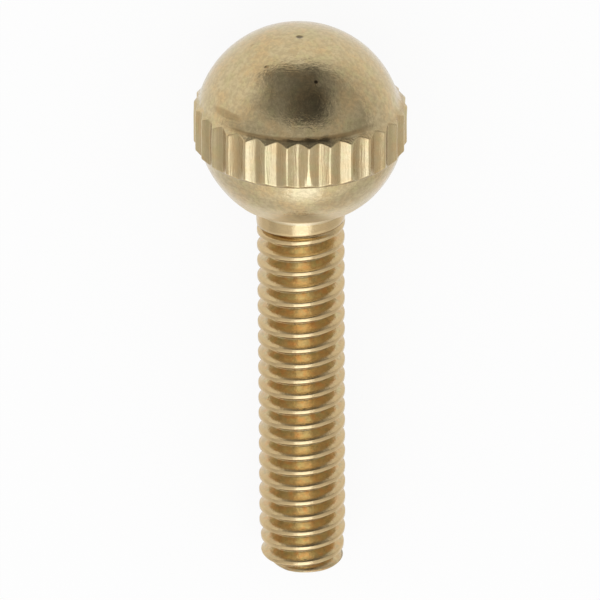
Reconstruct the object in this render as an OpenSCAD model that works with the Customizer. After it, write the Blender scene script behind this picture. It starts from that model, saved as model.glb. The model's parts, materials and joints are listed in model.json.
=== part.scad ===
// Ball-head thumb screw with a raised, straight-knurled grip band, turned from one brass bar.
// It is modelled as it comes to rest on a level surface: two tooth crests of the band and the
// edge of the tip touch Z = 0, the head is towards +Y, and the screw's axis lies in X = 0.
// The shank is the full cylinder over the thread crests, and carries no helix.

/* [Head] */
// Diameter that each half of the ball is turned to
ball_d = 9.68; // [8:0.01:16]
// How far the centre of the dome's half lies below the middle of the band
dome_set = 0.12; // [0:0.005:0.4]
// How far the centre of the other half lies above it
under_set = 0.08; // [0:0.005:0.4]
// Depth below the middle of the band where the underside meets the neck
under_depth = 4.18; // [3.5:0.01:7.5]
// Slope of the underside beside the neck, where it is turned flatter than the ball
under_slope = 26.4; // [15:0.1:35]

/* [Grip band] */
// Number of teeth around the band
tooth_count = 30; // [20:2:40]
// Height of the tooth crests above the ball's equator
crest_height = 0.135; // [0.1:0.005:0.3]
// Depth of the V grooves between the teeth
groove_depth = 0.25; // [0.1:0.01:0.35]
// Length of the crests from the middle of the band towards the dome
band_above = 0.95; // [0.6:0.01:1.4]
// Length of the crests from the middle of the band towards the shank
band_below = 0.915; // [0.6:0.005:1.4]
// Angle between the band's end plane and the chamfer at its dome end
dome_chamfer_angle = 40; // [30:1:55]
// Angle between the band's end plane and the chamfer at its shank end
shank_chamfer_angle = 40; // [30:1:55]

/* [Shank] */
// Diameter of the plain neck under the ball
neck_d = 4.14; // [3:0.01:6]
// Length of the plain neck between the ball and the thread
neck_l = 0.64; // [0.2:0.01:2]
// Diameter over the thread crests
thread_d = 4.1; // [3:0.01:6]
// Length of the neck and the thread, from the ball to the tip
shank_l = 18.36; // [6:0.01:40]
// Width of the 45 degree chamfer at the tip
tip_chamfer = 0.44; // [0.2:0.01:0.8]

/* [Hidden] */
$fn = 120;

ball_r = ball_d / 2;
crest_r = ball_r + crest_height;
groove_r = crest_r - groove_depth;
neck_r = neck_d / 2;
thread_r = thread_d / 2;

// Depths below the middle of the band, along the screw's axis
thread_start = under_depth + neck_l;
tip_end = under_depth + shank_l;
chamfer_start = tip_end - tip_chamfer;

// The band is turned to its end chamfers first, a little larger than the teeth cut from it,
// and the chamfers run on inside the ball
blank_r = crest_r + groove_depth;
blank_core_r = 0.85 * ball_r;
function dome_end(r) = band_above + (crest_r - r) * tan(dome_chamfer_angle);
function shank_end(r) = -band_below - (crest_r - r) * tan(shank_chamfer_angle);

// A groove faces straight down, so the two crests beside it carry the head
half_tooth = 180 / tooth_count;
resting_r = crest_r * cos(half_tooth);
rest_angle = atan((resting_r - thread_r) / (chamfer_start - band_below));
band_centre_height = resting_r * cos(rest_angle) + band_below * sin(rest_angle);

// Reach of the dome and the tip along Y from the band's middle, for an origin at mid length
dome_reach = ball_r - dome_set * cos(rest_angle);
tip_reach = tip_end * cos(rest_angle) + (thread_r - tip_chamfer) * sin(rest_angle);
band_centre_y = (tip_reach - dome_reach) / 2;

// Two caps whose centres lie a little past each other, with the band over their edge, and a
// cone for the flatter underside
module ball_head() {
    cone_tip = under_depth + neck_r * tan(under_slope);
    cone_h = cone_tip + ball_r;
    intersection() {
        translate([0, 0, -dome_set]) sphere(r = ball_r);
        translate([0, 0, under_set]) sphere(r = ball_r);
        translate([0, 0, -cone_tip]) cylinder(h = cone_h, r1 = 0, r2 = cone_h / tan(under_slope));
    }
}

module band_blank() {
    rotate_extrude()
        polygon([
            [0, shank_end(blank_core_r)],
            [blank_core_r, shank_end(blank_core_r)],
            [blank_r, shank_end(blank_r)],
            [blank_r, dome_end(blank_r)],
            [blank_core_r, dome_end(blank_core_r)],
            [0, dome_end(blank_core_r)]
        ]);
}

// The toothed outline, as long as the ball, whose grooves run a little into the ball
module tooth_prism() {
    outline = [
        for (i = [0 : 2 * tooth_count - 1])
            let (r = i % 2 == 0 ? groove_r : crest_r, angle = 90 + i * half_tooth)
                [r * cos(angle), r * sin(angle)]
    ];
    translate([0, 0, -ball_r])
        linear_extrude(height = ball_d)
            polygon(outline);
}

module head() {
    intersection() {
        union() {
            ball_head();
            band_blank();
        }
        tooth_prism();
    }
}

module shank() {
    rotate_extrude()
        polygon([
            [0, 0],
            [neck_r, 0],
            [neck_r, -thread_start],
            [thread_r, -thread_start],
            [thread_r, -chamfer_start],
            [thread_r - tip_chamfer, -tip_end],
            [0, -tip_end]
        ]);
}

module thumb_screw() {
    color("darkkhaki")
        translate([0, band_centre_y, band_centre_height])
            rotate([rest_angle - 90, 0, 0])
                union() {
                    head();
                    shank();
                }
}

thumb_screw();
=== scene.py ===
"""A ball-head thumb screw turned from one brass bar, lying at rest on two teeth of its grip band
and on the edge of its tip, on a plain pale floor under soft studio light."""
import json

import bpy
import numpy as np
from mathutils import Matrix, Vector


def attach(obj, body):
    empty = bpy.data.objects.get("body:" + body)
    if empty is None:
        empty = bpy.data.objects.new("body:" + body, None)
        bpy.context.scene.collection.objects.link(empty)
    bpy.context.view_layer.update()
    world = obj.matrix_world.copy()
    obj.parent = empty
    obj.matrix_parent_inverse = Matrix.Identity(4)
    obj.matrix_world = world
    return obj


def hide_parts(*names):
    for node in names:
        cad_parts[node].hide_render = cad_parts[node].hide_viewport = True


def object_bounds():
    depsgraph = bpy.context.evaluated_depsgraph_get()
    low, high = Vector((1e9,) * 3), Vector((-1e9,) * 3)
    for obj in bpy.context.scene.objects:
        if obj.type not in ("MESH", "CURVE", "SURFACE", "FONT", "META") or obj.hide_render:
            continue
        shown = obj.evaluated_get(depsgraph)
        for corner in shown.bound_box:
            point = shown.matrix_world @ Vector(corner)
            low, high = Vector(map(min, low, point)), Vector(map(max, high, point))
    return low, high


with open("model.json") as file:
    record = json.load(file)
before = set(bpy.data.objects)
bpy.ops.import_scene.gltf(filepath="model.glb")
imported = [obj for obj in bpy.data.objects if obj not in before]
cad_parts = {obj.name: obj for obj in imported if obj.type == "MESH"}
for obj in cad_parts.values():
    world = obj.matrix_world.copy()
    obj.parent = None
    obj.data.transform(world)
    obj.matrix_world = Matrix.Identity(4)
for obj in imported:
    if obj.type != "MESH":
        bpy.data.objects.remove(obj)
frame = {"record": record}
cad_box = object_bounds()


# The screw as it lies. Everything on it is worked out in its own frame, in millimetres from
# the middle of its grip band: x across, y down towards the floor, z along the axis to the dome.
# An angle about the axis starts from straight up and grows towards +x.
MM = 0.001
BALL_R = 4.84
DOME_SET = 0.12  # the centre of the dome's half of the ball lies this far below the middle

mounts = {mount["name"]: mount for mount in frame["record"]["mounts"]}
tip_centre = np.array(mounts["tip_face"]["pos_m"])
TO_DOME = -np.array(mounts["tip_face"]["axis"])
TO_DOME /= np.linalg.norm(TO_DOME)
ACROSS = np.array([1.0, 0.0, 0.0])
UPWARD = np.cross(ACROSS, TO_DOME)

dome_reach = (BALL_R - DOME_SET * TO_DOME[1]) * MM
axis_length = (cad_box[1][1] - dome_reach - tip_centre[1]) / TO_DOME[1]
band_centre = tip_centre + axis_length * TO_DOME


def placed(points):
    """Screw frame in millimetres to metres on the floor: the band's middle plus x across,
    y against the upward direction and z towards the dome."""
    x, y, z = np.moveaxis(np.asarray(points, float), -1, 0)
    steps = x[..., None] * ACROSS - y[..., None] * UPWARD + z[..., None] * TO_DOME
    return band_centre + MM * steps


def around(radius, angle, z):
    """Points at a radius and an angle about the axis, and at a height along it."""
    radius, angle, z = np.broadcast_arrays(radius, angle, z)
    return np.stack([radius * np.sin(angle), -radius * np.cos(angle), z], axis=-1)


# Head: a brass ball turned in two halves, with a raised band left around its middle. The
# band's ends are chamfered, and straight V grooves are pressed into it along the axis.
TOOTH_COUNT = 30
CREST_R = 4.975
GROOVE_R = 4.725
BAND_ABOVE = 0.95
BAND_BELOW = 0.915
DOME_CHAMFER = np.tan(np.radians(40))
SHANK_CHAMFER = np.tan(np.radians(40))
UNDER_SET = 0.08  # the centre of the other half lies this far above the middle
UNDER_DEPTH = 4.18
UNDER_SLOPE = np.tan(np.radians(26.4))
NECK_R = 2.07
TOOTH_ROUNDING = 0.09
FLANK_HOLLOW = 0.014
EDGE_ROUNDING = 0.035
JUNCTION_ROUNDING = 0.38  # where the dome runs into the band's chamfer
LOWER_ROUNDING = 0.03
TURN_IN_ROUNDING = 0.1
NECK_ROUNDING = 0.04
CREST_SCATTER = 0.008  # how much lower than the highest a crest may stand
DOME_ROWS = 25
UNDER_ROWS = 12
ROW_GAP = 0.04  # an arc of the ball ends a few of these short of its corner
DOME_END_GAPS = 10
UNDER_END_GAPS = 3
EVEN_BEYOND = 3.2  # the columns are evenly spaced from this height on, above and below
TEETH_TOP = 1.6  # and between these two they follow the teeth
TEETH_FOOT = -1.3


def rounded(before, corner, after, setback, steps):
    """A corner worn round, as the parabola (1-t)^2 start + 2t(1-t) corner + t^2 end, whose
    start and end lie on the corner's two sides, at the setback from it or at 0.4 of a side
    that is too short for that."""
    def towards(far):
        length = np.linalg.norm(far - corner, axis=-1, keepdims=True)
        return corner + (far - corner) * np.minimum(setback / length, 0.4)

    start, end = towards(before), towards(after)
    t = np.linspace(0, 1, steps).reshape((steps,) + (1,) * np.ndim(corner))
    return (1 - t) ** 2 * start + 2 * t * (1 - t) * corner + t ** 2 * end


def between(start, end, fractions):
    """Points on the straight line from start to end."""
    t = np.reshape(fractions, (-1,) + (1,) * np.ndim(start))
    return start + t * (end - start)


def smooth_step(value, low, high):
    """0 at low and before it, 1 at high and past it, and 3t^2 - 2t^3 between them. The low
    end may be the greater of the two."""
    t = np.clip((value - low) / (high - low), 0, 1)
    return t * t * (3 - 2 * t)


def soft_least(a, b, blend):
    """The lesser of two heights, with their corner blended."""
    t = np.clip(0.5 + 0.5 * (b - a) / blend, 0, 1)
    return b + (a - b) * t - blend * t * (1 - t)


def cone_meets_cap(slope, apex, cap_set):
    """Radius and height where the cone z = apex - slope * r runs into the half of the ball
    whose centre is cap_set beyond the middle: the outer root of r^2 + (z + set)^2 = R^2."""
    height = apex + cap_set
    a, b, c = 1 + slope ** 2, -2 * height * slope, height ** 2 - BALL_R ** 2
    radius = (-b + np.sqrt(b * b - 4 * a * c)) / (2 * a)
    return np.array([radius, apex - radius * slope])


def tooth_outline():
    """One tooth's cross-section as angle and radius, from the middle of a groove round to just
    before the next: two flanks, hollow by 4t(1-t) of a small depth where the tool's own teeth
    were full, with the crest and both grooves worn round."""
    step = np.pi / TOOTH_COUNT
    radii = [CREST_R, GROOVE_R, CREST_R, GROOVE_R, CREST_R]
    corners = [r * np.array([np.sin(i * step), np.cos(i * step)])
               for i, r in zip(range(-1, 4), radii)]
    arcs = [rounded(*corners[i - 1:i + 2], TOOTH_ROUNDING, 5) for i in (1, 2, 3)]
    along = np.array((0.1, 0.37, 0.63, 0.9))
    hollow = 1 - 4 * along * (1 - along) * FLANK_HOLLOW / CREST_R
    rising = between(arcs[0][-1], arcs[1][0], along) * hollow[:, None]
    falling = between(arcs[1][-1], arcs[2][0], along) * hollow[:, None]
    outline = np.concatenate([arcs[0][2:], rising, arcs[1], falling, arcs[2][:2]])
    return np.arctan2(outline[:, 0], outline[:, 1]), np.hypot(outline[:, 0], outline[:, 1])


rng = np.random.default_rng(8)
tooth_angle, tooth_radius = tooth_outline()
per_tooth = len(tooth_angle)
head_columns = TOOTH_COUNT * per_tooth
band_angle = (np.arange(TOOTH_COUNT)[:, None] * 2 * np.pi / TOOTH_COUNT + tooth_angle).ravel()
even_angle = np.arange(head_columns) * 2 * np.pi / head_columns
lift = (tooth_radius - GROOVE_R) / (CREST_R - GROOVE_R)
band_radius = tooth_radius - rng.uniform(0, CREST_SCATTER, (TOOTH_COUNT, 1)) * lift
band_radius = band_radius.ravel()


def head_profile():
    """Radius and height of each row of each column, from the dome to the neck: an arc of the
    dome's sphere, the chamfer, the tooth's straight edge, the other chamfer, the lower arc
    and the flatter cone by the neck, with every corner between them worn round."""
    def ring(radius, z):
        return np.broadcast_to(np.array([radius, z], float), (head_columns, 2))

    def cap(polar, centre_z):
        return [ring(BALL_R * np.sin(a), centre_z + BALL_R * np.cos(a)) for a in polar]

    upper = cone_meets_cap(DOME_CHAMFER, BAND_ABOVE + CREST_R * DOME_CHAMFER, DOME_SET)
    lower = cone_meets_cap(SHANK_CHAMFER, BAND_BELOW + CREST_R * SHANK_CHAMFER, UNDER_SET)
    lower = lower * (1, -1)
    turn_in = cone_meets_cap(UNDER_SLOPE, UNDER_DEPTH + NECK_R * UNDER_SLOPE, UNDER_SET)
    top = np.stack([band_radius, BAND_ABOVE + (CREST_R - band_radius) * DOME_CHAMFER], -1)
    foot = np.stack([band_radius, -BAND_BELOW - (CREST_R - band_radius) * SHANK_CHAMFER], -1)
    gap = ROW_GAP / BALL_R
    polar_upper = np.arcsin(upper[0] / BALL_R)
    polar_lower = np.pi - np.arcsin(lower[0] / BALL_R)
    polar_turn = np.pi - np.arcsin(turn_in[0] / BALL_R)
    dome = cap(np.linspace(0, polar_upper - DOME_END_GAPS * gap, DOME_ROWS)[1:], -DOME_SET)
    under = cap(np.linspace(polar_lower + gap, polar_turn - UNDER_END_GAPS * gap, UNDER_ROWS),
                UNDER_SET)
    upper, lower, turn_in = ring(*upper), ring(*lower), ring(turn_in[0], -turn_in[1])
    neck = ring(NECK_R, -UNDER_DEPTH)
    # The dome's side of its corner is carried on, so that it is long enough for the setback
    along_dome = upper + 3 * (dome[-1] - upper)
    upper_edge = rounded(along_dome, upper, top, JUNCTION_ROUNDING, 6)
    top_edge = rounded(upper, top, foot, EDGE_ROUNDING, 3)
    foot_edge = rounded(top, foot, lower, EDGE_ROUNDING, 3)
    lower_edge = rounded(foot, lower, under[0], LOWER_ROUNDING, 3)
    rows = [
        dome,
        upper_edge,
        between(upper_edge[-1], top_edge[0], (1 / 3, 2 / 3)),
        top_edge,
        between(top_edge[-1], foot_edge[0], (0.03, 0.3, 0.55, 0.78, 0.97)),
        foot_edge,
        between(foot_edge[-1], lower_edge[0], (1 / 3, 2 / 3)),
        lower_edge,
        under,
        rounded(under[-1], turn_in, neck, TURN_IN_ROUNDING, 4),
        between(turn_in, neck, (0.3, 0.6, 0.88)),
        rounded(turn_in, neck, ring(NECK_R, -UNDER_DEPTH - 1), NECK_ROUNDING, 3),
    ]
    return np.concatenate(rows)


profile = head_profile()
head_r, head_z = profile[..., 0].copy(), profile[..., 1]
on_teeth = (smooth_step(head_z, EVEN_BEYOND, TEETH_TOP)
            * smooth_step(head_z, -EVEN_BEYOND, TEETH_FOOT))
head_angle = even_angle + (band_angle - even_angle) * on_teeth

# One crest is dressed flat where it has been gripped, in a patch that widens to the foot
WORN_AT = np.radians(6)
WORN_HALF_ANGLE = 0.1
WORN_TOP = -0.2
WORN_FOOT = -1.3
WORN_DEPTH = 0.02  # what is gone from the crest at the top of the patch
WORN_DEEPER = 0.09  # what more is gone at its foot
DEEPENS_FROM = -0.3
DEEPENS_OVER = 0.6
WORN_BLEND = 0.012
from_worn = (head_angle - WORN_AT + np.pi) % (2 * np.pi) - np.pi
to_foot = np.clip((DEEPENS_FROM - head_z) / DEEPENS_OVER, 0, 1)
patch = CREST_R - WORN_DEPTH - WORN_DEEPER * to_foot
worn = (np.abs(from_worn) < WORN_HALF_ANGLE) & (head_z < WORN_TOP) & (head_z > WORN_FOOT)
flat_r = patch / np.cos(from_worn)
head_r = np.where(worn, soft_least(head_r, flat_r, WORN_BLEND), head_r)
head_points = around(head_r, head_angle, head_z)

# The dome and the chamfer around it were turned in a second setting, a little off the screw's
# axis and tilted to one side, and the other half of the ball is off it the other way
DOME_OFFSET = -0.077
DOME_TILT = 0.021
UNDER_OFFSET = 0.044
TILT_BEGINS = (0.2, 0.9)
DOME_BEGINS = (1.0, 1.45)
UNDER_BEGINS = (-1.0, -1.4)
UNDER_ENDS = (-4.1, -3.0)
tilt = DOME_TILT * smooth_step(head_z, *TILT_BEGINS)
side_shift = (DOME_OFFSET * smooth_step(head_z, *DOME_BEGINS) + tilt * (head_z + DOME_SET)
              + UNDER_OFFSET * smooth_step(head_z, *UNDER_BEGINS)
              * smooth_step(head_z, *UNDER_ENDS))
head_points[..., 2] -= tilt * head_points[..., 0]
head_points[..., 0] += side_shift


# Neck, thread and tip: the same bar turned down. A right-hand 60 degree thread is cut on it
# with a die, which runs out in a shallow first turn under the plain neck, and the tip has a
# 45 degree chamfer and a flat end face.
PITCH = 0.79375
THREAD_R = 2.05
THREAD_DEPTH = 0.5
FLANK_SLOPE = np.tan(np.radians(30))
CREST_FLAT = 0.23 * PITCH
SHOULDER_ROUNDING = 0.035
ROOT_ROUNDING = 0.04
FIRST_CREST = -5.237  # height of the first whole crest, straight up from the axis
THREAD_TOP = -4.5
CREST_STEP_Z = -4.7  # from here to the full depth the neck's radius passes into the crests'
FULL_DEPTH_Z = -5.2
TIP_Z = -axis_length / MM
TIP_FLAT_R = 1.61
TAPER = 0.03
LAST_CRESTS = (-20.7, -21.4)  # between these heights the crests wear down to the drop
LAST_CREST_DROP = 0.07
TIP_OFF_CENTRE = 0.14
DIE_BLEND = 0.02
CHAMFER_BLEND = 0.03
FIRST_GROOVE_DROP = 0.18
SQUEEZE = (-5.18, -4.83)
THREAD_MARGIN = 0.012  # points above this depth below the neck are drawn onto its last ring
TIP_MARGIN = 0.02  # points lower than this above the tip are drawn onto its first ring
shank_columns = head_columns // 3
shank_angle = np.arange(shank_columns) * 2 * np.pi / shank_columns


def thread_turn():
    """One turn's profile as drop along the axis and depth below the crest: a narrow flat, a
    60 degree V with a slightly rounded root, and the worn edges between them."""
    flank = THREAD_DEPTH * FLANK_SLOPE
    edge, root = CREST_FLAT / 2, CREST_FLAT / 2 + flank
    points = np.array([[0, 0], [edge, 0], [root, THREAD_DEPTH], [PITCH / 2, THREAD_DEPTH]])
    crest, shoulder, valley, middle = points
    half = np.concatenate([crest[None],
                           rounded(crest, shoulder, valley, SHOULDER_ROUNDING, 3),
                           between(shoulder, valley, (0.5,)),
                           rounded(shoulder, valley, middle, ROOT_ROUNDING, 2),
                           middle[None]])
    other = half[1:-1][::-1] * (-1, 1) + (PITCH, 0)
    return np.concatenate([half, other])


turn = thread_turn()
rows_per_turn = len(turn)
TURNS_ABOVE = 3
TURNS_BELOW = 2
turns = int(np.ceil((FIRST_CREST - TIP_Z) / PITCH + TURNS_ABOVE + TURNS_BELOW))
row = np.arange(rows_per_turn * turns)
row_z = (FIRST_CREST + PITCH * (TURNS_ABOVE - row // rows_per_turn)
         - turn[row % rows_per_turn, 0])
row_depth = turn[row % rows_per_turn, 1]


def thread_radius(depth, angle, z):
    """The crest radius less the thread's depth, where that depth is less by the lift of the
    die near the neck and never under zero, and no more than the chamfer of the tip, which is
    off the axis: r = flat + height above the tip + offset * sin(angle)."""
    lifted = THREAD_DEPTH * (1 - smooth_step(z, THREAD_TOP, FULL_DEPTH_Z))
    depth = -soft_least(0 * depth, lifted - depth, DIE_BLEND)
    crest = NECK_R + (THREAD_R - NECK_R) * smooth_step(z, CREST_STEP_Z, FULL_DEPTH_Z)
    crest = crest - TAPER * np.clip((z - FULL_DEPTH_Z) / (TIP_Z - FULL_DEPTH_Z), 0, 1)
    crest = crest - LAST_CREST_DROP * smooth_step(z, *LAST_CRESTS)
    chamfer = TIP_FLAT_R + (z - TIP_Z) + TIP_OFF_CENTRE * np.sin(angle)
    return soft_least(crest - depth, chamfer, CHAMFER_BLEND)


thread_z = row_z[:, None] + PITCH * shank_angle / (2 * np.pi)
thread_r = thread_radius(np.broadcast_to(row_depth[:, None], thread_z.shape),
                         shank_angle, thread_z)
# The first groove lies closer to the first crest than the others, so the neck reaches lower
squeezed = thread_z - FIRST_GROOVE_DROP * smooth_step(thread_z, *SQUEEZE)
thread_points = around(thread_r, shank_angle, squeezed)

NECK_HEIGHTS = (-4.27, -4.38, THREAD_TOP)
neck_rings = [around(NECK_R, shank_angle, z) for z in NECK_HEIGHTS]
# The end face keeps the outline of the chamfer, with a notch where the last groove runs out
tip_outline = np.array([np.interp(TIP_Z + TIP_MARGIN, z[::-1], r[::-1])
                        for z, r in zip(thread_z.T, thread_r.T)])
TIP_RINGS = ((0.995, 0.006), (0.985, 0), (0.96, 0), (0.62, 0), (0.28, 0))  # share, height
tip_rings = [around(tip_outline * share, shank_angle, TIP_Z + z) for share, z in TIP_RINGS]


def strip_faces(upper, lower):
    """Two triangles in each gap between two closed rings of the same number of points."""
    a, b, c, d = upper, lower, np.roll(lower, -1), np.roll(upper, -1)
    return np.concatenate([np.stack([a, b, c], -1), np.stack([a, c, d], -1)])


def screw_mesh():
    """The closed skin of the whole screw, from the pole of the dome to the middle of the tip.
    The rows of the thread climb one pitch in a turn, so the end of a row meets the start of
    the row one turn above, and rows that leave the threaded length are drawn onto the ring
    that ends it."""
    points, faces, count = [], [], 0

    def add(block):
        nonlocal count
        block = np.asarray(block, float)
        index = count + np.arange(block[..., 0].size).reshape(block.shape[:-1])
        points.append(block.reshape(-1, 3))
        count += block[..., 0].size
        return index

    pole = add([[DOME_OFFSET + DOME_TILT * BALL_R, 0, BALL_R - DOME_SET]])[0]
    head = add(head_points)
    first = head[0]
    faces.append(np.stack([np.full(head_columns, pole), first, np.roll(first, -1)], -1))
    faces += [strip_faces(head[i], head[i + 1]) for i in range(len(head) - 1)]

    # The head has three columns for each one of the shank, which meet at the top of the neck
    neck = [add(ring) for ring in neck_rings]
    fine, coarse = head[-1], neck[0]
    after = np.roll(coarse, -1)
    f0, f1, f2, f3 = fine[0::3], fine[1::3], fine[2::3], np.roll(fine[0::3], -1)
    faces += [np.stack(t, -1) for t in ((f0, coarse, f1), (f1, coarse, f2),
                                        (f2, coarse, after), (f2, after, f3))]
    faces += [strip_faces(neck[i], neck[i + 1]) for i in range(len(neck) - 1)]

    tip = [add(ring) for ring in tip_rings]
    threads = add(thread_points)
    threads = np.where(squeezed > THREAD_TOP - THREAD_MARGIN, neck[-1], threads)
    threads = np.where(thread_z < TIP_Z + TIP_MARGIN, tip[0], threads)
    wrapped = np.concatenate([np.full(rows_per_turn, neck[-1][0]),
                              threads[:-rows_per_turn, 0]])
    grid = np.concatenate([threads, wrapped[:, None]], axis=1)
    a, b, c, d = grid[:-1, :-1], grid[1:, :-1], grid[1:, 1:], grid[:-1, 1:]
    faces += [np.stack([a, b, c], -1).reshape(-1, 3), np.stack([a, c, d], -1).reshape(-1, 3)]

    faces += [strip_faces(tip[i], tip[i + 1]) for i in range(len(tip) - 1)]
    middle = add([[0, 0, TIP_Z]])[0]
    last = tip[-1]
    faces.append(np.stack([last, np.full(shank_columns, middle), np.roll(last, -1)], -1))

    points, faces = np.concatenate(points), np.concatenate(faces)
    faces = faces[(faces[:, 0] != faces[:, 1]) & (faces[:, 1] != faces[:, 2])
                  & (faces[:, 2] != faces[:, 0])]
    used, faces = np.unique(faces, return_inverse=True)
    return placed(points[used]), faces.reshape(-1, 3)


def mesh_object(name, points, faces, material, smooth=True):
    """A mesh object at the origin from arrays of points and of equal-sided faces."""
    mesh = bpy.data.meshes.new(name)
    sides = faces.shape[1]
    mesh.vertices.add(len(points))
    mesh.vertices.foreach_set("co", points.ravel())
    mesh.loops.add(faces.size)
    mesh.loops.foreach_set("vertex_index", faces.ravel())
    mesh.polygons.add(len(faces))
    mesh.polygons.foreach_set("loop_start", np.arange(0, faces.size, sides))
    mesh.polygons.foreach_set("use_smooth", np.full(len(faces), smooth))
    mesh.update(calc_edges=True)
    mesh.validate()
    mesh.materials.append(material)
    made = bpy.data.objects.new(name, mesh)
    bpy.context.scene.collection.objects.link(made)
    return made


class Wire:
    """An output socket of a node tree. Python's operators on it add Math nodes."""

    def __init__(self, tree, socket=None):
        self.tree, self.socket = tree, socket

    def node(self, kind, settings=None, values=None, out=0):
        """Adds a node, with its settings first and then its sockets' values or links, and gives
        one of its outputs by number or name."""
        made = self.tree.nodes.new(kind)
        for name, value in (settings or {}).items():
            setattr(made, name, value)
        for name, value in (values or {}).items():
            if isinstance(value, Wire):
                self.tree.links.new(value.socket, made.inputs[name])
            else:
                made.inputs[name].default_value = value
        return Wire(self.tree, made.outputs[out]) if made.outputs else None

    def math(self, operation, *terms):
        return self.node("ShaderNodeMath", {"operation": operation}, dict(enumerate(terms)))

    def __add__(self, other):
        return self.math("ADD", self, other)

    def __sub__(self, other):
        return self.math("SUBTRACT", self, other)

    def __rsub__(self, other):
        return self.math("SUBTRACT", other, self)

    def __mul__(self, other):
        return self.math("MULTIPLY", self, other)

    __radd__ = __add__
    __rmul__ = __mul__

    def step(self, low, high):
        """Rises smoothly from 0 at low to 1 at high, which may be the lesser."""
        return self.node("ShaderNodeMapRange", {"interpolation_type": "SMOOTHSTEP"},
                         {"Value": self, "From Min": low, "From Max": high})

    def vector(self, operation, other, out=0):
        return self.node("ShaderNodeVectorMath", {"operation": operation},
                         {0: self, 1: other}, out)

    def dot(self, direction):
        """How far the vector reaches along a direction."""
        return self.vector("DOT_PRODUCT", direction, "Value")

    def length(self):
        return self.node("ShaderNodeVectorMath", {"operation": "LENGTH"}, {0: self}, "Value")

    def noise(self, scale, detail, roughness):
        """Cloudy noise, with its scale in features to a unit of this vector."""
        return self.node("ShaderNodeTexNoise", None,
                         {"Vector": self, "Scale": scale, "Detail": detail,
                          "Roughness": roughness})


def mixed(factor, first, second):
    """A colour part of the way from the first to the second. The Mix node's colours are its
    sockets 6 and 7, and its mixed colour is output 2."""
    source = next(w for w in (factor, first, second) if isinstance(w, Wire))
    return source.node("ShaderNodeMix", {"data_type": "RGBA"},
                       {0: factor, 6: first, 7: second}, out=2)


def new_tree(data):
    """Empties the node tree of a material or world, and gives a Wire to start from."""
    data.use_nodes = True
    data.node_tree.nodes.clear()
    return Wire(data.node_tree)


BRASS = (0.62, 0.50, 0.29, 1)
WARM_BRASS = (0.64, 0.465, 0.24, 1)
GREEN_BRASS = (0.58, 0.505, 0.26, 1)
DULL_BRASS = (0.42, 0.33, 0.185, 1)
RED_BRASS = (0.65, 0.40, 0.19, 1)
# brown for the stain, the nick and specks, the grooves and the first turn, and for painted shade in
# the corner above the band
TARNISH_AND_PAINTED_SHADE = (0.30, 0.19, 0.08, 1)
NEAR_BLACK = (0.05, 0.03, 0.015, 1)
# pale brass painted by the neck as painted light, to brighten how it looks lit
PALE_PAINTED_LIGHT = (0.85, 0.71, 0.48, 1)
RELIEF_DEPTH = 0.000014


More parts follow.
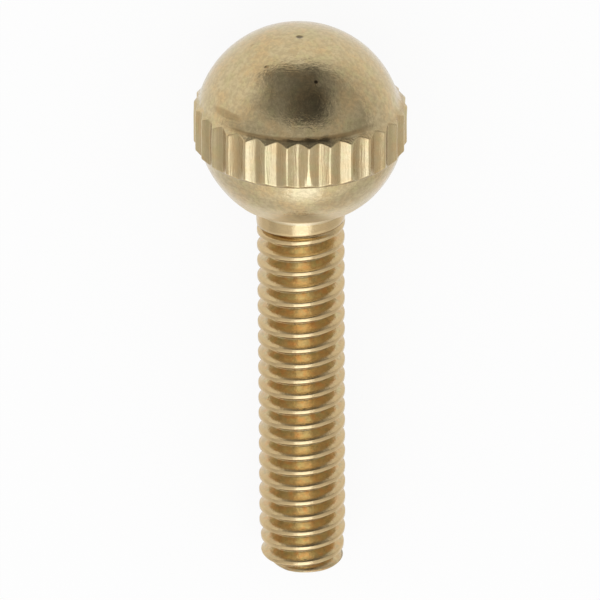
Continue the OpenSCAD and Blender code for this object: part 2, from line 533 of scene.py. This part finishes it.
def turned_brass():
    """Bare brass: cloudy and finely pitted all over, with streaks along the teeth and fine
    turning rings elsewhere. It is duller in gloss on the underside by the neck, where it is also
    painted paler as painted light, and redder in patches of the thread. The corner above the band
    is darkened with painted shade on its sides that face up and down, the grooves between the
    teeth and the first turn of the thread are browner, and there are a few small marks, with
    the pip and the pit painted near black."""
    material = bpy.data.materials.new("turned_brass")
    start = new_tree(material)
    place = start.node("ShaderNodeTexCoord", out="Object")
    tilt = np.arctan2(-UPWARD[2], -UPWARD[1])
    spot = start.node("ShaderNodeMapping", {"vector_type": "TEXTURE"},
                      {"Vector": place, "Location": tuple(band_centre),
                       "Rotation": (tilt, 0, 0), "Scale": (MM, MM, MM)})
    across = spot.dot((1, 0, 0))
    upward = spot.dot((0, -1, 0))
    height = spot.dot((0, 0, 1))
    radius = spot.vector("MULTIPLY", (1, 1, 0)).length()

    def mark(centre, reach):
        """1 in the middle of a small mark and 0 past its reach across, down and along."""
        return spot.vector("SUBTRACT", centre).vector("DIVIDE", reach).length().step(1.0, 0.5)

    # Each mask is 1 on its own part of the screw, and fades to 0 between its two heights or radii
    on_shank = height.step(-4.25, -4.35)
    on_band = height.step(1.15, 1.05) * height.step(-1.2, -1.1)
    in_thread = on_shank * radius.step(1.95, 1.8)
    climbed = height - across.math("ARCTAN2", across, upward) * (PITCH / (2 * np.pi))
    near_neck = height.step(-2.5, -3.6) * (1 - on_shank)
    sideways = across.math("ABSOLUTE", across)
    # Painted shade: the corner above the band, darkest on the sides that face up and down
    corner_painted_shade = height.step(1.43, 1.33) * height.step(1.16, 1.24) * sideways.step(3.9, 2.2)
    in_groove = on_band * radius.step(4.93, 4.76)
    first_groove = in_thread * climbed.step(-5.2, -5.1) * climbed.step(-4.8, -4.9)

    # The moves by whole numbers keep one noise from repeating another
    mottle = spot.noise(0.9, 4, 0.6)
    patches = spot.vector("ADD", (7, 3, 5)).noise(1.7, 3, 0.6)
    cloudy = spot.noise(2.6, 3, 0.55)
    speckle = spot.noise(4.5, 3, 0.7)
    grain = spot.vector("ADD", (3, 8, 1)).noise(4.5, 4, 0.7)
    drawn = spot.vector("MULTIPLY", (14, 14, 0.8)).noise(1, 3, 0.6)
    rings = spot.vector("MULTIPLY", (0.4, 0.4, 16)).noise(1, 3, 0.6)

    pip = mark((0.01, -0.63, 4.66), (0.22, 0.17, 0.2))
    pit = mark((0.82, -3.08, 3.51), (0.12, 0.11, 0.11))
    scuff = mark((0.93, -3.15, 3.4), (0.15, 0.15, 0.15))
    nick = mark((-1.45, -2.33, 3.89), (0.16, 0.11, 0.11))
    specks = mark((-2.19, -0.53, 4.2), (0.13, 0.13, 0.13)) + mark((1.5, -0.39, 4.44), (0.1, 0.1, 0.1))
    stain = mark((-3.3, -2.97, 1.82), (1.15, 1.2, 0.23))

    colour = mixed(mottle.step(0.4, 0.65), BRASS, WARM_BRASS)
    colour = mixed(patches.step(0.45, 0.7) * 0.6, colour, GREEN_BRASS)
    colour = mixed(speckle.step(0.62, 0.38) * (0.12 + 0.38 * (1 - on_band)), colour, DULL_BRASS)
    colour = mixed(on_shank * (1 - in_thread) * 0.75, colour, WARM_BRASS)
    colour = mixed(in_thread * cloudy.step(0.45, 0.65) * 0.6, colour, RED_BRASS)
    # Browner in the grooves between the teeth and in the first turn of the thread
    colour = mixed(in_groove * 0.26, colour, TARNISH_AND_PAINTED_SHADE)
    colour = mixed(first_groove * 0.2, colour, TARNISH_AND_PAINTED_SHADE)
    # Painted light: the underside by the neck is made paler, so that it looks more brightly lit
    colour = mixed(near_neck * 0.6, colour, PALE_PAINTED_LIGHT)
    # A stain on the dome, and painted shade in the corner above the band
    colour = mixed(stain * 0.5 + corner_painted_shade * 0.7, colour, TARNISH_AND_PAINTED_SHADE)
    colour = mixed(nick * 0.6 + specks * 0.3, colour, TARNISH_AND_PAINTED_SHADE)
    # The pip at the pole and the pit are painted near black
    colour = mixed(pip * 0.75 + pit * 0.9, colour, NEAR_BLACK)
    roughness = (0.1 + 0.08 * cloudy + 0.07 * on_band + 0.04 * on_shank + 0.15 * scuff
                 + 0.3 * near_neck)
    relief = (grain * (1.0 - 0.6 * on_band) + rings * (0.25 * (1 - on_band))
              + drawn * (1.2 * on_band) - (pip + nick) * 1.5)
    bump = start.node("ShaderNodeBump", None,
                      {"Strength": 1.0, "Distance": RELIEF_DEPTH, "Height": relief})
    shader = start.node("ShaderNodeBsdfPrincipled", None,
                        {"Base Color": colour, "Roughness": roughness, "Metallic": 1.0,
                         "Normal": bump})
    start.node("ShaderNodeOutputMaterial", None, {"Surface": shader})
    return material


screw_points, screw_faces = screw_mesh()
screw = mesh_object("turned_thumb_screw", screw_points, screw_faces, turned_brass())
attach(screw, "root")
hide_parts("thumb_screw")


# Floor and surroundings: a plain pale floor under a soft white studio. Only what the brass
# mirrors differs: a dark card above the dome, dimmer sides, one bright strip above the shank
# and a slightly grey floor.
FLOOR_HALF = 3.0
EVEN_SHARE = 0.9  # how much of it is evenly bright, to the camera and in reflections
GREY_ON_RIGHT = 0.08
GREY_BY_HEAD = 0.2
GREY_BY_SHANK = 0.22


def pale_floor():
    """A matt pale floor that keeps a faint shadow. What the brass mirrors of it is greyer to
    the right of the screw, more so beside the head, and on both sides of the shank."""
    material = bpy.data.materials.new("pale_floor")
    start = new_tree(material)
    diffuse = start.node("ShaderNodeBsdfDiffuse", None, {"Color": (0.86, 0.86, 0.86, 1)})
    direct = start.node("ShaderNodeLightPath", out="Is Camera Ray")
    glossy = start.node("ShaderNodeLightPath", out="Is Glossy Ray")
    seen = direct.math("MAXIMUM", direct, glossy)
    place = start.node("ShaderNodeTexCoord", out="Object")
    right = place.dot((1, 0, 0))
    away = right.math("ABSOLUTE", right)
    headward = place.dot((0, 1, 0))
    on_right = right.step(0.007, 0.028)
    level = 1.0 - glossy * (GREY_ON_RIGHT * on_right
                            + GREY_BY_HEAD * on_right * headward.step(0.0, 0.012)
                            + GREY_BY_SHANK * headward.step(0.006, 0.0) * away.step(0.004, 0.013))
    glow = start.node("ShaderNodeEmission", None, {"Color": level, "Strength": 1.0})
    shader = start.node("ShaderNodeMixShader", None,
                        {0: seen * EVEN_SHARE, 1: diffuse, 2: glow})
    start.node("ShaderNodeOutputMaterial", None, {"Surface": shader})
    return material


floor_points = np.array([[-1, -1, 0], [1, -1, 0], [1, 1, 0], [-1, 1, 0]]) * FLOOR_HALF
floor = mesh_object("floor", floor_points, np.array([[0, 1, 2, 3]]), pale_floor(), False)


WHITE = (1, 1, 1, 1)
COOL_WHITE = (0.92, 1.0, 1.15, 1)


def studio_world():
    """White, except where the brass mirrors it: then a level by direction, from the parts of
    the direction that point across, upward and towards the dome, and from the angle turned
    about the screw's axis."""
    world = bpy.data.worlds.new("studio")
    start = new_tree(world)
    way = start.node("ShaderNodeTexCoord", out="Generated")
    side = way.dot(tuple(ACROSS))
    rise = way.dot(tuple(UPWARD))
    lean = way.dot(tuple(TO_DOME))
    turned = side.math("ARCTAN2", side, rise)
    off_strip = turned.math("ABSOLUTE", turned - 0.09)
    # The dark card above the dome, lighter towards its sides
    high = lean.step(0.75, 0.95)
    card = (0.058 + 0.05 * side.step(0.35, 0.1) + side.step(0.05, -0.35) * (0.17 - 0.06 * high)
            + 0.16 * side.step(-0.35, -0.8) + 0.38 * (side + 0.17 * high).step(0.39, 0.75)
            + 0.02 * lean.step(0.66, 0.5) + 0.04 * lean.step(0.82, 0.92)
            + 0.07 * side.step(0.6, 0.85) + 0.04 * lean.step(0.95, 1.0))
    # The room below the card, towards the tip and towards the dome
    front = off_strip.step(1.9, 0.9)
    low = (0.68 + front * (0.1 + 0.28 * lean.step(-0.45, -0.58))
           + (1 - front) * (0.5 * lean.step(-0.6, -0.85)) - 0.12 * turned.step(-0.6, -1.4)
           - 0.06 * turned.step(0.6, 1.2))
    middle = 0.51 + 0.14 * front * lean.step(0.22, 0.32) - 0.09 * turned.step(0.7, 1.3)
    level = low + (middle - low) * lean.step(-0.06, 0.06)
    soft = 0.09 * side.step(0.2, 0.5)
    level = level + (card - level) * (lean + 0.1 * side).step(0.4 - soft, 0.44 + soft)
    # White again on the side away from the front, and low down beside the card
    upper = lean.step(-0.1, 0.25)
    off_middle = turned.math("ABSOLUTE", turned - 0.48 * upper - 0.06)
    behind = (off_middle + 0.35 * upper).step(1.7, 2.5)
    above = rise + 0.4 * side.math("ABSOLUTE", side) + 0.05 * side + 0.06
    behind = behind + (above.step(0.06, -0.08) - behind) * lean.step(0.7, 0.88)
    level = level + (1.0 - level) * behind
    # The bright strip above the shank
    wide = 0.42 + 0.13 * lean.step(-0.8, -0.9)
    strip = ((off_strip - wide).step(0.0, -0.06) * lean.step(-0.12, -0.22)
             * (0.6 * lean.step(-0.935, -0.91) + 0.4 * lean.step(-0.998, -0.96)))
    bright = 1.85 + 0.8 * lean.step(-0.49, -0.55) * lean.step(-0.72, -0.64)
    level = level + (bright - level) * strip
    glossy = start.node("ShaderNodeLightPath", out="Is Glossy Ray")
    level = 1.0 + (level - 1.0) * glossy
    light = mixed(strip * glossy, WHITE, COOL_WHITE)
    shader = start.node("ShaderNodeBackground", None, {"Color": light, "Strength": level})
    start.node("ShaderNodeOutputWorld", None, {"Surface": shader})
    bpy.context.scene.world = world


studio_world()


# Camera: on the dome's side, looking steeply down at the lying screw with the dome at the
# top, from far enough away to keep the shank's sides nearly parallel.
VIEW_RISE = np.radians(25.6)
VIEW_TURN = np.radians(1.5)
VIEW_ROLL = np.radians(0.32)
VIEW_DISTANCE = 0.672
AIM = (-0.053, 0, -9.114)
SENSOR_WIDTH = 36
FOCAL_LENGTH = 864

facing = np.sin(VIEW_TURN) * ACROSS + np.cos(VIEW_TURN) * UPWARD
back = np.cos(VIEW_RISE) * facing + np.sin(VIEW_RISE) * TO_DOME
top = TO_DOME - back * TO_DOME.dot(back)
top /= np.linalg.norm(top)
right = np.cross(top, back)
top, right = (np.cos(VIEW_ROLL) * top + np.sin(VIEW_ROLL) * right,
              np.cos(VIEW_ROLL) * right - np.sin(VIEW_ROLL) * top)
aim = placed(AIM)
camera_data = bpy.data.cameras.new("camera")
camera_data.sensor_width = SENSOR_WIDTH
camera_data.lens = FOCAL_LENGTH
camera_data.clip_start = 0.01
camera_data.clip_end = 5
camera = bpy.data.objects.new("camera", camera_data)
bpy.context.scene.collection.objects.link(camera)
turned = Matrix(np.stack([right, top, back], axis=1).tolist()).to_4x4()
camera.matrix_world = Matrix.Translation(Vector(aim + back * VIEW_DISTANCE)) @ turned
bpy.context.scene.camera = camera
bpy.context.scene.view_settings.view_transform = "Standard"
